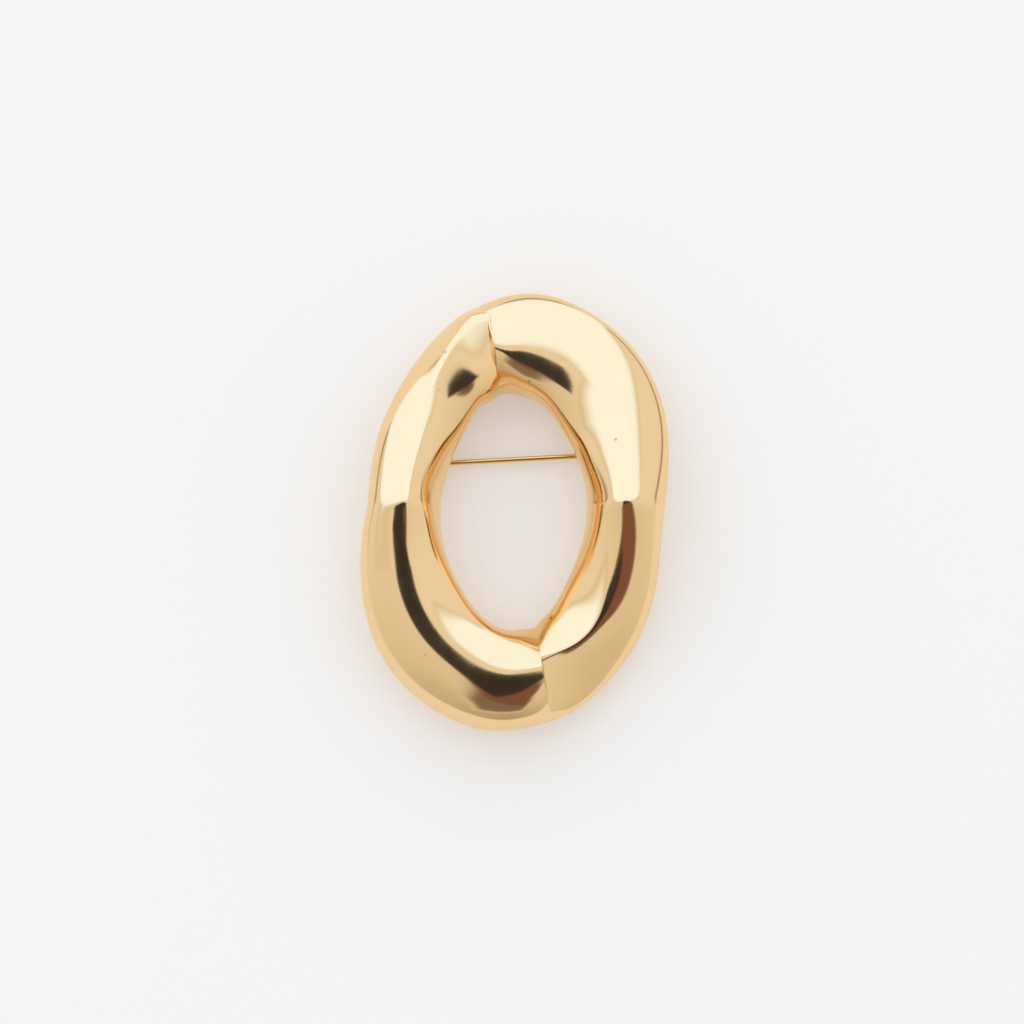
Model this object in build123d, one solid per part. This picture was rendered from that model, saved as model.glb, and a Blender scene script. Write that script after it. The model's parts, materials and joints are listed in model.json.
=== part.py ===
from build123d import *
import math
import os

# Link brooch. Millimetres, +Z up, +Y towards the top of the link, +X to its right seen from the front.
# The origin is on the rest plane under the middle of the link: the brooch lies on its back.

# Driving sizes of the link
link_length = 61.4  # over the two ends of the plain oval
waist_width = 41.6  # over the two side waists, where the link is slimmest
link_height = 13.7  # rest plane to the crests of the side limbs

# Driving sizes of the pin stem and where it runs
stem_wire = 0.75  # diameter
stem_y = 8.0  # the stem's line above the middle of the link
stem_turn = 3.1  # degrees, the catch end is the higher one
stem_level = 1.4  # axis above the rest plane
hinge_reach = 14.2  # from the middle of the stem's line to the rivet
catch_reach = 14.0  # from the middle of the stem's line to the middle of the catch
neck_end = 1.8  # from the rivet to where the wire has its full roundness
neck_diameter = 0.96
taper_start = 10.6  # where the wire begins to taper
tip_overhang = 1.4  # point past the catch
tip_diameter = 0.24

# Hinge
eye_diameter = 2.1
eye_thickness = 1.0
rivet_diameter = 0.80
rivet_head = 1.5
rivet_head_height = 0.35
ear_thickness = 0.7
running_gap = 0.04  # radial, eye on rivet
side_gap = 0.06  # eye to each ear
rivet_gap = 0.03  # rivet in the ears, and under its heads

# Catch
catch_length = 2.6
catch_wall = 0.6
catch_gap = 0.17  # from the wire to the cradle
root_depth = 1.6  # how far the ears and the catch run up into the limb

# Half of the link, from the crest of the right limb round the top to the crest of the left limb: the high
# lobe up to the fold at the top and the low lobe after it, which meets the high lobe a little lower.
# outer, inner: reach, as a share of the plain oval's radius at that angle
# ridge: place of the ridge between inner and outer, as a share of the limb's width
# top, back: height of the ridge and of the back, as a share of link_height
# inner_fall, outer_fall: fall from the ridge to the flanks, as a share of the limb's thickness
# inner_full, outer_full: fullness of the two upper quarters, where round_full is a quarter of an ellipse
section_columns = (
    "angle", "outer", "inner", "ridge", "top", "back", "inner_fall", "outer_fall", "inner_full", "outer_full"
)
round_full = 0.5523
high_sections = [
    (0, 0.989, 0.486, 0.501, 1.003, 0.263, 0.659, 0.398, 0.439, 0.519),
    (15, 1.042, 0.489, 0.467, 0.930, 0.248, 0.604, 0.442, 0.465, 0.451),
    (30, 1.092, 0.490, 0.463, 0.867, 0.219, 0.538, 0.490, 0.474, 0.416),
    (47, 1.109, 0.494, 0.470, 0.801, 0.161, 0.479, 0.503, 0.490, 0.438),
    (62, 1.067, 0.501, 0.460, 0.773, 0.095, 0.441, 0.470, 0.545, 0.491),
    (76, 1.024, 0.531, 0.445, 0.772, 0.044, 0.473, 0.439, 0.602, 0.549),
    (87, 1.003, 0.545, 0.440, 0.774, 0.015, 0.548, 0.429, 0.577, 0.591),
    (93.5, 0.983, 0.549, 0.451, 0.768, 0.004, 0.590, 0.438, 0.475, 0.580),
    (98.5, 0.972, 0.547, 0.520, 0.758, 0.000, 0.604, 0.455, 0.420, 0.523),
]
low_sections = [
    (98.5, 0.964, 0.555, 0.520, 0.687, 0.010, 0.560, 0.400, 0.400, 0.280),
    (102, 0.975, 0.527, 0.637, 0.688, 0.006, 0.466, 0.447, 0.518, 0.241),
    (108.5, 0.974, 0.517, 0.641, 0.687, 0.019, 0.397, 0.484, 0.480, 0.221),
    (120, 0.972, 0.485, 0.594, 0.688, 0.058, 0.400, 0.517, 0.424, 0.280),
    (135, 0.986, 0.474, 0.507, 0.740, 0.139, 0.482, 0.540, 0.405, 0.411),
    (150, 0.992, 0.473, 0.462, 0.818, 0.204, 0.582, 0.519, 0.407, 0.514),
    (165, 0.983, 0.484, 0.475, 0.906, 0.241, 0.634, 0.460, 0.419, 0.541),
    (180, 0.989, 0.486, 0.501, 1.003, 0.263, 0.659, 0.398, 0.439, 0.519),
]


def oval_radius(angle):
    """Radius of the plain oval at an angle in degrees."""
    c = math.cos(math.radians(angle)) / (waist_width / 2)
    s = math.sin(math.radians(angle)) / (link_length / 2)
    return 1 / math.hypot(c, s)


def section_face(row):
    """The limb's cross-section in the upright plane at one angle: four quarter curves."""
    at = dict(zip(section_columns, row))
    turn = math.radians(at["angle"])
    plane = Plane(
        origin=(0, 0, 0),
        x_dir=(math.cos(turn), math.sin(turn), 0),
        z_dir=(math.sin(turn), -math.cos(turn), 0),
    )
    radius = oval_radius(at["angle"])
    outer = radius * at["outer"]
    inner = radius * at["inner"]
    ridge = inner + (outer - inner) * at["ridge"]
    top = link_height * at["top"]
    back = link_height * at["back"]
    inner_level = top - (top - back) * at["inner_fall"]
    outer_level = top - (top - back) * at["outer_fall"]
    quarters = [
        quarter(ridge, outer_level, outer - ridge, top - outer_level, at["outer_full"]),
        quarter(ridge, inner_level, inner - ridge, top - inner_level, at["inner_full"]),
        quarter(ridge, inner_level, inner - ridge, back - inner_level, round_full),
        quarter(ridge, outer_level, outer - ridge, back - outer_level, round_full),
    ]
    return plane * make_face(Wire(quarters))


def quarter(x, y, across, rise, full):
    """A quarter of the section, from its flank to its ridge or back: a Bezier curve with two level handles."""
    return Bezier(
        (x + across, y), (x + across, y + full * rise), (x + full * across, y + rise), (x, y + rise)
    )


def make_link():
    """The link: two lobes lofted over a half turn, and the same two turned by 180 degrees."""
    high_lobe = loft([section_face(row) for row in high_sections])
    low_lobe = loft([section_face(row) for row in low_sections])
    turned = Rot(0, 0, 180)
    return high_lobe + low_lobe + turned * high_lobe + turned * low_lobe


def on_stem_line():
    """The frame of the stem: its middle on the rest plane, local +X from the hinge to the catch."""
    return Location((0, stem_y, 0), (0, 0, stem_turn))


def upright_slab(length, width, bottom, top, x=0.0, y=0.0):
    """A box between two heights, centred on x and y."""
    return Pos(x, y, (bottom + top) / 2) * Box(length, width, top - bottom)


def cross_cylinder(radius, width, x=0.0, y=0.0, z=0.0):
    """A cylinder along local Y, centred on the given point."""
    return Pos(x, y, z) * Rot(90, 0, 0) * Cylinder(radius, width)


def limb_root(body, frame, x, y):
    """Height of the link's underside above a point of the stem's frame."""
    spot = (frame * Pos(x, y, 0)).position
    probe = Pos(spot.X, spot.Y, link_height / 2) * Cylinder(stem_wire / 4, link_height)
    return (body & probe).bounding_box().min.Z


def make_ears(body, frame):
    """Two rounded ears soldered under the left limb, with the rivet's holes."""
    root = limb_root(body, frame, -hinge_reach, 0) + root_depth
    ear_radius = stem_level
    offset = eye_thickness / 2 + side_gap + ear_thickness / 2
    ears = []
    for side in (-1, 1):
        slab = upright_slab(2 * ear_radius, ear_thickness, stem_level, root, -hinge_reach, side * offset)
        slab += cross_cylinder(ear_radius, ear_thickness, -hinge_reach, side * offset, stem_level)
        hole = cross_cylinder(
            rivet_diameter / 2 + rivet_gap, 2 * ear_thickness, -hinge_reach, side * offset, stem_level
        )
        ears.append(slab - hole)
    return ears


def make_catch(body, frame):
    """A plain open cradle for the tapered wire, with its mouth away from the link."""
    root = limb_root(body, frame, catch_reach, 0) + root_depth
    mouth = stem_wire + 2 * catch_gap
    roof = stem_level + mouth / 2
    block = upright_slab(catch_length, mouth + 2 * catch_wall, 0, stem_level, catch_reach, 0)
    block += along_x(mouth / 2 + catch_wall, catch_length)
    block -= cross_slot(mouth)
    stalk = upright_slab(catch_length, mouth, roof + catch_wall / 2, root, catch_reach, 0)
    return block + stalk


def along_x(radius, length):
    """A cylinder along local X over the stem's axis, at the catch."""
    return Pos(catch_reach, 0, stem_level) * Rot(0, 90, 0) * Cylinder(radius, length)


def cross_slot(mouth):
    """The cradle's hollow along local X: straight sides and a round roof."""
    slot = upright_slab(2 * catch_length, mouth, -stem_level, stem_level, catch_reach, 0)
    return slot + along_x(mouth / 2, 2 * catch_length)


def along_stem(start, end):
    """The place of a round body that runs along the stem's axis between two local x values."""
    return Pos((start + end) / 2, 0, stem_level) * Rot(0, 90, 0)


def make_stem():
    """The pin wire with its drilled eye; the point starts to taper before the catch."""
    tip = catch_reach + catch_length / 2 + tip_overhang
    wire_from = neck_end - hinge_reach
    neck = along_stem(-hinge_reach, wire_from) * Cone(neck_diameter / 2, stem_wire / 2, neck_end)
    shank = along_stem(wire_from, taper_start) * Cylinder(stem_wire / 2, taper_start - wire_from)
    taper = along_stem(taper_start, tip) * Cone(stem_wire / 2, tip_diameter / 2, tip - taper_start)
    point = Pos(tip, 0, stem_level) * Sphere(tip_diameter / 2)
    eye = cross_cylinder(eye_diameter / 2, eye_thickness, -hinge_reach, 0, stem_level)
    bore = cross_cylinder(
        rivet_diameter / 2 + running_gap, 2 * eye_thickness, -hinge_reach, 0, stem_level
    )
    return neck + shank + taper + point + eye - bore


def make_rivet():
    """The rivet with its two flat round heads."""
    over_ears = eye_thickness + 2 * side_gap + 2 * ear_thickness + 2 * rivet_gap
    rivet = cross_cylinder(rivet_diameter / 2, over_ears, -hinge_reach, 0, stem_level)
    for side in (-1, 1):
        middle = side * (over_ears + rivet_head_height) / 2
        head = cross_cylinder(rivet_head / 2, rivet_head_height, -hinge_reach, middle, stem_level)
        rim = head.edges().filter_by(GeomType.CIRCLE).sort_by(Axis.Y)[-1 if side > 0 else 0]
        rivet += fillet(rim, 0.6 * rivet_head_height)
    return rivet


def make_parts():
    """All the nodes in place, by name."""
    link = make_link()
    frame = on_stem_line()
    link_frame = link
    for ear in make_ears(link, frame):
        link_frame += frame * ear
    link_frame += frame * make_catch(link, frame)
    return {
        "link_frame": link_frame,
        "pin_stem": frame * make_stem(),
        "hinge_rivet": frame * make_rivet(),
    }


os.makedirs("parts", exist_ok=True)
for name, shape in make_parts().items():
    export_step(shape, f"parts/{name}.step")
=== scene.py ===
import json
import math

import bpy
import numpy as np
from bpy.props import FloatProperty, FloatVectorProperty, IntProperty, PointerProperty
from bpy.types import Operator, Panel, PropertyGroup
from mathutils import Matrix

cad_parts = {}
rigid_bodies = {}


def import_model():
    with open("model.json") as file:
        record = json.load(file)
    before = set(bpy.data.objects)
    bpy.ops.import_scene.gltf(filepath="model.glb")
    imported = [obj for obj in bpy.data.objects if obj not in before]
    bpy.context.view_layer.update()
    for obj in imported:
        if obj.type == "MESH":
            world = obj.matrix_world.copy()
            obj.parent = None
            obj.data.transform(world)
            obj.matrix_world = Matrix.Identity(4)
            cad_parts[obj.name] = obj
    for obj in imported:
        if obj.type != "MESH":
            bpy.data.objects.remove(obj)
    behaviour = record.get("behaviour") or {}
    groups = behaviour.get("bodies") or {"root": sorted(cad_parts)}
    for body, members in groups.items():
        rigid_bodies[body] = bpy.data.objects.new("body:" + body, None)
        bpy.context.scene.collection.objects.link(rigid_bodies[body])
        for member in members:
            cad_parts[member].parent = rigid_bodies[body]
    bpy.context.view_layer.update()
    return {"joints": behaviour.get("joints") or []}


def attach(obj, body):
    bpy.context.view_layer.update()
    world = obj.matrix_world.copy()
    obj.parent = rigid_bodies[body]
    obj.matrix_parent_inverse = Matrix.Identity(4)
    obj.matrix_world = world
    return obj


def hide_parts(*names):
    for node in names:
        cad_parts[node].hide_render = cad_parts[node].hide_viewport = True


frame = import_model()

bl_info = {
    "name": "Link brooch",
    "version": (1, 0, 0),
    "blender": (4, 5, 0),
    "location": "View3D > Sidebar > Brooch",
    "description": "Twisted gold-tone link with its pin stem, hinge, catch and photo table",
    "category": "Object",
}

MM = 0.001
SIDE_GAP = 0.06 * MM
RIVET_GAP = 0.03 * MM
RUNNING_GAP = 0.04 * MM
EDGE_ROUND = 0.12 * MM  # on the edges of the catch and of the solder's feet
EMBEDDED = 1.2 * MM  # how far the ears and the catch's stalk run up into the limb
CARD_RINGS = 40  # from the middle of a card to its rim
TINY = 1e-6
HINGE = next(joint for joint in frame["joints"] if joint["name"] == "stem_hinge")

# The link's sections, from the crest of the right limb anticlockwise. It has four lobes, each a run of rows
# from fold to fold. At the top and the bottom fold one lobe stands a little proud of the next.
# outer, inner: reach, as a share of the plain oval's radius at that angle
# ridge: place of the ridge between inner and outer, as a share of the limb's width
# top, back: height of the ridge and of the back, as a share of the link's height
# inner_fall, outer_fall: fall from the ridge to the flanks, as a share of the limb's thickness
# inner_full, outer_full: fullness of the two upper quarters, where ROUND is a quarter of an ellipse
# The shares follow the reflections in the photograph: most come from fits to them, and those near the two end
# folds from trials.
SECTION_COLUMNS = (
    "angle", "outer", "inner", "ridge", "top", "back", "inner_fall", "outer_fall", "inner_full", "outer_full"
)
LOBES = ((0, 9), (9, 18), (17, 26), (26, 34))
FOLDS = (0.0, 97.0, 180.0, 280.2)
TOP_FOLD = FOLDS[1]
END_FOLDS = (FOLDS[1], FOLDS[3])
FOLD_HOLD = 6.0  # degrees to each side of a fold where its own softness holds
FOLD_EASE = 14.0  # degrees over which it then goes over to the limb's
LIMB_SOFTNESS = 5.0  # degrees
LEAN_REACH = 10.0  # degrees over which the lean of the top fold dies away
FOLD_CROWDS = ((5.0, 1.6), (14.0, 0.3))  # how much closer the columns are, over how many degrees
FOLD_SHADE_REACH = 11.0  # degrees over which the painted shade of the end folds dies away
ROUND = 0.5523
SECTIONS = (
    (0, 1.007, 0.485, 0.480, 1.000, 0.255, 0.581, 0.435, 0.373, 0.503),
    (15, 1.052, 0.488, 0.433, 0.919, 0.241, 0.577, 0.451, 0.410, 0.403),
    (30, 1.101, 0.484, 0.447, 0.845, 0.213, 0.546, 0.458, 0.467, 0.350),
    (47, 1.111, 0.489, 0.456, 0.776, 0.156, 0.519, 0.409, 0.500, 0.417),
    (62, 1.063, 0.492, 0.445, 0.744, 0.092, 0.472, 0.322, 0.565, 0.515),
    (76, 1.020, 0.525, 0.408, 0.758, 0.043, 0.499, 0.301, 0.662, 0.587),
    (87, 0.999, 0.540, 0.395, 0.772, 0.014, 0.587, 0.346, 0.629, 0.568),
    (93, 0.975, 0.553, 0.413, 0.770, 0.004, 0.608, 0.395, 0.522, 0.504),
    (97, 0.953, 0.554, 0.498, 0.765, 0.000, 0.606, 0.441, 0.427, 0.431),
    (97, 0.953, 0.554, 0.840, 0.708, 0.000, 0.574, 0.396, 0.860, 0.520),
    (101, 0.965, 0.529, 0.830, 0.733, 0.005, 0.465, 0.428, 0.890, 0.480),
    (104, 0.963, 0.527, 0.800, 0.746, 0.010, 0.432, 0.446, 0.880, 0.420),
    (108, 0.960, 0.524, 0.750, 0.758, 0.017, 0.383, 0.464, 0.820, 0.330),
    (120, 0.949, 0.485, 0.630, 0.756, 0.057, 0.417, 0.476, 0.580, 0.286),
    (135, 0.953, 0.476, 0.498, 0.789, 0.135, 0.523, 0.488, 0.473, 0.405),
    (150, 0.968, 0.473, 0.448, 0.842, 0.199, 0.641, 0.469, 0.419, 0.495),
    (165, 0.967, 0.484, 0.456, 0.896, 0.234, 0.711, 0.419, 0.415, 0.532),
    (180, 0.971, 0.486, 0.522, 0.950, 0.255, 0.742, 0.359, 0.506, 0.536),
    (195, 1.033, 0.488, 0.484, 0.889, 0.241, 0.625, 0.436, 0.531, 0.492),
    (210, 1.083, 0.493, 0.477, 0.841, 0.213, 0.517, 0.529, 0.480, 0.455),
    (227, 1.105, 0.496, 0.472, 0.788, 0.156, 0.422, 0.613, 0.467, 0.451),
    (242, 1.069, 0.506, 0.474, 0.754, 0.092, 0.392, 0.629, 0.515, 0.462),
    (256, 1.026, 0.532, 0.474, 0.741, 0.043, 0.417, 0.599, 0.582, 0.506),
    (267, 1.004, 0.545, 0.486, 0.732, 0.014, 0.475, 0.538, 0.553, 0.644),
    (274, 0.987, 0.540, 0.478, 0.722, 0.004, 0.537, 0.507, 0.428, 0.668),
    (280.2, 0.985, 0.546, 0.467, 0.707, 0.000, 0.600, 0.492, 0.273, 0.614),
    (280.2, 0.985, 0.546, 0.360, 0.666, 0.000, 0.575, 0.461, 0.231, 0.336),
    (283, 0.989, 0.531, 0.390, 0.656, 0.004, 0.544, 0.485, 0.247, 0.278),
    (289, 0.992, 0.516, 0.440, 0.638, 0.016, 0.503, 0.530, 0.220, 0.211),
    (300, 0.997, 0.489, 0.540, 0.632, 0.057, 0.465, 0.588, 0.268, 0.226),
    (315, 1.021, 0.475, 0.479, 0.687, 0.135, 0.493, 0.615, 0.341, 0.447),
    (330, 1.017, 0.475, 0.459, 0.774, 0.199, 0.552, 0.586, 0.387, 0.555),
    (345, 0.998, 0.485, 0.493, 0.879, 0.234, 0.570, 0.509, 0.421, 0.579),
    (360, 1.007, 0.485, 0.480, 1.000, 0.255, 0.581, 0.435, 0.373, 0.503),
)


def length(name, description, millimetres):
    """A size in the sidebar, given in millimetres."""
    default = millimetres * MM
    return FloatProperty(
        name=name, description=description, default=default, min=0.0, subtype="DISTANCE", unit="LENGTH"
    )


def place(name, description, millimetres):
    """A place along an axis in the sidebar, given in millimetres."""
    return FloatProperty(name=name, description=description, default=millimetres * MM, unit="LENGTH")


def angle(name, description, degrees):
    """An angle in the sidebar, given in degrees."""
    return FloatProperty(
        name=name, description=description, default=math.radians(degrees), subtype="ANGLE", unit="ROTATION"
    )


def colour(name, description, value):
    """A colour in the sidebar."""
    return FloatVectorProperty(
        name=name, description=description, default=value, size=3, min=0.0, max=1.0, subtype="COLOR"
    )


def share(name, description, value):
    """A share between nothing and all in the sidebar."""
    return FloatProperty(
        name=name, description=description, default=value, min=0.0, max=1.0, subtype="FACTOR"
    )


class BroochLinkSizes(PropertyGroup):
    """Sizes of the twisted link."""

    long_side: length("Length", "Over the two ends of the plain oval", 61.4)
    waist: length("Waist width", "Over the two side waists", 41.6)
    height: length("Height", "Table to the highest crest", 14.1)
    soft_side: angle("Side fold softness", "How far round the link the side folds are polished over", 1.6)
    soft_crease: angle("Crease softness", "How far round the top and bottom folds are polished over", 0.04)
    fold_lean: angle("Fold lean", "How far the top fold leans round at the outer edge", 2.5)
    columns: IntProperty(name="Columns", description="Sections round the link", default=620, min=60, max=900)
    rows: IntProperty(name="Rows", description="Points round each section", default=128, min=24, max=200)


class BroochPinSizes(PropertyGroup):
    """Sizes of the pin stem, its hinge and its catch."""

    wire: length("Pin wire", "Diameter of the pin wire", 0.75)
    neck: length("Neck", "Diameter of the wire where it leaves the eye", 0.96)
    tip: length("Tip", "Diameter of the blunted point", 0.24)
    hinge_reach: length("Hinge reach", "Middle of the pin's line to the rivet", 14.2)
    catch_reach: length("Catch reach", "Middle of the pin's line to the middle of the catch", 14.0)
    overhang: length("Point past the catch", "How far the point stands past the catch", 1.4)
    eye: length("Eye", "Diameter of the flattened eye", 2.1)
    eye_width: length("Eye width", "Thickness of the eye along the rivet", 1.0)
    rivet: length("Rivet", "Diameter of the rivet", 0.80)
    rivet_head: length("Rivet head", "Diameter of the rivet's heads", 1.5)
    head_height: length("Head height", "How far each rivet head stands off its ear", 0.35)
    ear: length("Ear", "Thickness of each hinge ear", 0.7)
    catch_length: length("Catch length", "Length of the cradle along the pin", 2.6)
    catch_wall: length("Catch wall", "Thickness of the cradle's strip", 0.6)
    catch_gap: length("Catch gap", "Room between the wire and the cradle", 0.17)
    solder: length("Solder", "Width of the solder fillets", 0.34)


class BroochFinish(PropertyGroup):
    """Colours and finishes of the metal."""

    gold: colour("Gold", "Polished gold tone of the link", (0.95, 0.67, 0.36))
    # painted shade and reflection: the darker, warmer gold that the fold mask lays in the end folds and along
    # the inner edge, where the gold mirrors itself
    deep_gold: colour("Deep gold", "Thicker, warmer plating in the folds", (0.92, 0.58, 0.20))
    pin_gold: colour("Pin gold", "Yellower tone of the drawn pin wire", (0.93, 0.64, 0.27))
    solder_gold: colour("Solder gold", "Duller tone of the solder", (0.84, 0.64, 0.42))
    polish: share("Roughness", "Roughness of the polished front", 0.085)
    back_polish: share("Back roughness", "Roughness of the tumbled back", 0.24)
    wave_size: length("Wave size", "Length of the slow hand-polished waves", 7.0)
    grain_size: length("Grain size", "Size of the fine ripple left by polishing", 0.30)


class BroochStage(PropertyGroup):
    """The photo table, its light and the camera."""

    camera_distance: length("Camera distance", "From the middle of the link", 600.0)
    camera_tilt: angle("Camera tilt", "How far the camera leans towards the bottom of the link", 9.19)
    lens: FloatProperty(name="Lens", description="Focal length", default=151.9, min=20.0, unit="CAMERA")
    aim_side: place("Aim sideways", "Camera aim along X", -0.21)
    aim_up: place("Aim along", "Camera aim along Y", -0.36)
    aim_level: length("Aim level", "Height of the point the camera looks at", 7.0)
    table: colour("Table", "Pale paper of the photo table", (0.93, 0.93, 0.93))
    table_glow: share("Table glow", "Light that the paper gives by itself, against a dark shadow", 0.19)
    room: colour("Room", "Warm room that the metal mirrors", (0.745, 0.735, 0.69))
    table_edge: colour("Table edge", "Low dark edge behind the top of the link", (0.30, 0.24, 0.20))
    room_low: colour("Room below", "The room past the bottom of the link", (0.50, 0.43, 0.36))
    room_high: colour("Room above", "The room past the top of the link", (0.87, 0.89, 0.92))
    table_light: colour("Soft light on the table", "What the soft box gives the table", (0.87, 0.87, 0.87))
    even_light: colour("Even light", "Light from all round on the table", (0.70, 0.70, 0.70))
    beyond: colour("Beyond", "What the camera sees past the table", (0.87, 0.87, 0.87))
    soft_box: FloatVectorProperty(
        name="Soft box", description="Light of the soft box", default=(1.04, 1.32, 1.80), size=3, min=0.0
    )


# Curves and sections


def natural_spline(knots, values, at):
    """The natural cubic spline through the knots: between two knots the height is the straight line plus
    the two bending terms (a cubed less a) and (b cubed less b), and the bends solve one linear system."""
    step = np.diff(knots)
    n = len(knots)
    system = np.eye(n)
    right = np.zeros((n,) + values.shape[1:])
    inner = np.arange(1, n - 1)
    system[inner, inner - 1] = step[:-1]
    system[inner, inner] = 2 * (step[:-1] + step[1:])
    system[inner, inner + 1] = step[1:]
    slope = np.diff(values, axis=0) / step[:, None]
    right[1:-1] = 6 * np.diff(slope, axis=0)
    bend = np.linalg.solve(system, right)
    place = np.clip(np.searchsorted(knots, at) - 1, 0, n - 2)
    width = step[place]
    b = (at - knots[place]) / width
    a = 1 - b
    line = a[:, None] * values[place] + b[:, None] * values[place + 1]
    bow = (a**3 - a)[:, None] * bend[place] + (b**3 - b)[:, None] * bend[place + 1]
    return line + bow * (width**2 / 6)[:, None]


def smooth_step(x):
    """A rise from 0 to 1 that starts and ends level."""
    return x**2 * (3 - 2 * x)


def limb_columns(degrees, side_softness, crease_softness):
    """The section table at any angles round the link, as a dict of arrays.
    One spline runs over each lobe, from fold to fold. Bell curves then round it, by damping the waves that
    the columns are made of: the side folds with the first softness and the top and bottom folds with the
    second, shared out by the square of the cosine of the angle, and the limbs between with a wide one."""
    table = np.array(SECTIONS)
    step = 0.1
    fine = np.arange(0, 3600) * step
    rows = np.empty((len(fine), table.shape[1] - 1))
    for first, last in LOBES:
        lobe = table[first:last]
        over = (fine >= lobe[0, 0]) & (fine <= lobe[-1, 0])
        rows[over] = natural_spline(lobe[:, 0], lobe[:, 1:], fine[over])
    waves = np.fft.rfft(rows, axis=0)
    pace = np.arange(len(waves)) / 360.0
    off_fold = np.min(np.abs((fine[:, None] - np.array(FOLDS) + 180.0) % 360.0 - 180.0), axis=1)
    between = smooth_step(np.clip((off_fold - FOLD_HOLD) / FOLD_EASE, 0.0, 1.0))
    at_side = np.cos(np.radians(fine)) ** 2
    soft = np.zeros_like(rows)
    parts = (
        (side_softness, at_side * (1 - between)),
        (crease_softness, (1 - at_side) * (1 - between)),
        (LIMB_SOFTNESS, between),
    )
    for softness, part in parts:
        bell = np.exp(-2 * (np.pi * softness * pace) ** 2)
        soft += part[:, None] * np.fft.irfft(waves * bell[:, None], len(fine), axis=0)
    soft = np.concatenate([soft, soft[:1]])
    turn = np.mod(degrees, 360.0)
    ends = np.append(fine, 360.0)
    return {
        name: np.interp(turn, ends, soft[:, k])
        for k, name in enumerate(SECTION_COLUMNS[1:])
    }


def limb_shape(degrees, sizes, soft_crease=None):
    """Reach and heights of the limb at any angles, in metres: outer, inner, ridge, top, back and the two
    flank levels."""
    crease = sizes.soft_crease if soft_crease is None else soft_crease
    at = limb_columns(degrees, math.degrees(sizes.soft_side), math.degrees(crease))
    turn = np.radians(degrees)
    oval = 1 / np.hypot(np.cos(turn) / (sizes.waist / 2), np.sin(turn) / (sizes.long_side / 2))
    outer = oval * at["outer"]
    inner = oval * at["inner"]
    top = sizes.height * at["top"]
    back = sizes.height * at["back"]
    return {
        "inner_full": at["inner_full"],
        "outer_full": at["outer_full"],
        "outer": outer,
        "inner": inner,
        "ridge": inner + (outer - inner) * at["ridge"],
        "top": top,
        "back": back,
        "inner_level": top - (top - back) * at["inner_fall"],
        "outer_level": top - (top - back) * at["outer_fall"],
    }


def column_angles(count):
    """Angles round the link, closer together at the four folds: even steps of the running total of one
    plus two bell curves at each fold."""
    fine = np.linspace(0.0, 360.0, 7201)
    crowd = np.ones_like(fine)
    for fold in (*FOLDS, 360.0):
        crowd += sum(closer * np.exp(-(((fine - fold) / reach) ** 2)) for closer, reach in FOLD_CROWDS)
    total = np.concatenate([[0.0], np.cumsum((crowd[1:] + crowd[:-1]) / 2)])
    return np.interp(np.arange(count) / count * total[-1], total, fine)


def quarter_curve(climb, full):
    """One quarter of the section, from the flank at climb 0 to the ridge or the back at climb 1: a cubic
    Bezier curve whose two handles are as long as the given share of the quarter's width and height."""
    fall = 1 - climb
    across = fall**3 + 3 * fall**2 * climb + 3 * fall * climb**2 * full
    upward = 3 * fall**2 * climb * full + 3 * fall * climb**2 + climb**3
    return across, upward


def section_points(degrees, rows, sizes, soft_crease):
    """Four quarter curves at each angle that meet on the ridge, the outer flank, the back and the inner
    flank. Outside the ridge the top fold leans over. Returns the grid of points."""
    at = {name: values[:, None] for name, values in limb_shape(degrees, sizes, soft_crease).items()}
    turn = np.radians(degrees)[:, None]
    climb, outside, above = quarters(rows)
    full = np.where(above, np.where(outside, at["outer_full"], at["inner_full"]), ROUND)
    across, upward = quarter_curve(climb, full)
    side = np.where(outside, 1.0, -1.0)
    half_width = np.where(outside, at["outer"] - at["ridge"], at["ridge"] - at["inner"])
    level = np.where(outside, at["outer_level"], at["inner_level"])
    rise = np.where(above, at["top"] - level, at["back"] - level)
    reach = at["ridge"] + side * half_width * across
    off_fold = (degrees[:, None] - TOP_FOLD) / LEAN_REACH
    turn = turn + sizes.fold_lean * np.clip(side, 0.0, 1.0) * across * np.exp(-(off_fold**2))
    return np.stack([reach * np.cos(turn), reach * np.sin(turn), level + rise * upward], axis=-1)


def quarters(rows):
    """For each point of a section: its climb from flank to ridge or back, and whether it is outside the
    ridge and above the flanks."""
    step = np.arange(rows)[None, :] / rows * 4
    quarter = np.floor(step)
    climb = np.where(quarter % 2 == 0, step - quarter, 1 - (step - quarter))
    return climb, (quarter == 0) | (quarter == 3), quarter < 2


def link_surface(sizes):
    """Points of the link on a grid of angles round it and turns round its section. The top and bottom folds
    are crisp from the ridge to the inner flank; they fade out towards the outer flank and the back, where
    the crisp surface is mixed with one that has wide soft folds. Returns the grid, its angles and its
    turns."""
    degrees = column_angles(sizes.columns)
    climb, outside, above = quarters(sizes.rows)
    ease = smooth_step(np.clip((1 - climb) * 1.4 - 0.2, 0.0, 1.0))
    faded = np.where(above, np.where(outside, ease, 0.0), np.where(outside, 1.0, 1 - ease))[..., None]
    crisp = section_points(degrees, sizes.rows, sizes, sizes.soft_crease)
    soft = section_points(degrees, sizes.rows, sizes, sizes.soft_side * 2)
    points = crisp * (1 - faded) + soft * faded
    return points, degrees, np.arange(sizes.rows) / sizes.rows * 2 * np.pi


def underside(x, y, sizes):
    """Height of the link's underside over points of the table: the lower quarter ellipse at that angle and
    reach."""
    degrees = np.degrees(np.arctan2(y, x)) % 360.0
    at = limb_shape(degrees, sizes)
    reach = np.hypot(x, y)
    outside = reach >= at["ridge"]
    half_width = np.where(outside, at["outer"] - at["ridge"], at["ridge"] - at["inner"])
    level = np.where(outside, at["outer_level"], at["inner_level"])
    across = np.clip((reach - at["ridge"]) / half_width, -1.0, 1.0)
    return level - (level - at["back"]) * np.sqrt(1 - across**2)


# Meshes


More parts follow.
